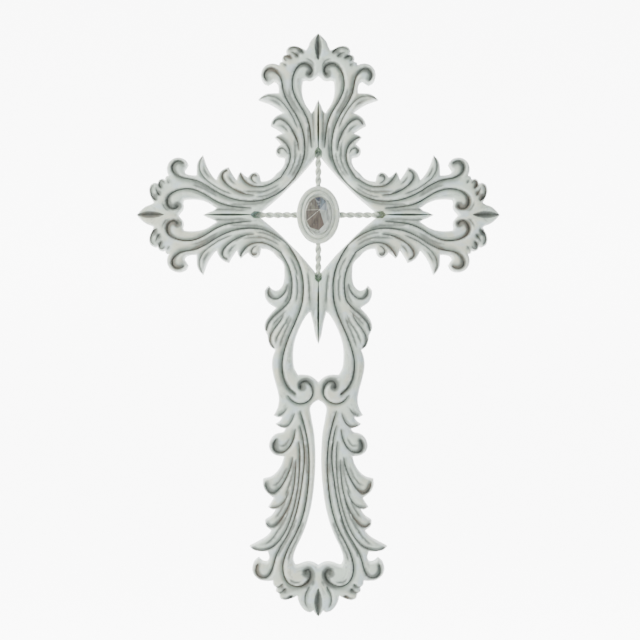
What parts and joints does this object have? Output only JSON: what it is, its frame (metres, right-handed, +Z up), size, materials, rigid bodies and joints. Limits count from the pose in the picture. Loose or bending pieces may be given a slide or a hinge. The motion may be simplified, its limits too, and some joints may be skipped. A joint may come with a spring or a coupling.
{
  "type": "scalloped wall cross",
  "caption": "Openwork wall cross carved with scrolls and scalloped leaves, with an oval jewelled medallion held on twisted rods in a diamond window.",
  "frame": {"origin": "on the flat back of the upper arm, on its centre line, just above the keyhole's seat", "axes": "+Z up the cross, +X to the viewer's right, +Y into the wall; the carved face looks along -Y"},
  "size_m": [0.3634, 0.0189, 0.5832],
  "materials": {
    "whitewashed_wood": "distressed whitewash",
    "painted_rod": "matt",
    "painted_medallion": "distressed whitewash",
    "faceted_jewel": "mirror-backed facets"
  },
  "bodies": {
    "root": {"cross_frame": "whitewashed_wood", "rod_top": "painted_rod", "rod_bottom": "painted_rod", "rod_left": "painted_rod", "rod_right": "painted_rod", "medallion": "painted_medallion", "jewel": "faceted_jewel"}
  },
  "joints": []
}
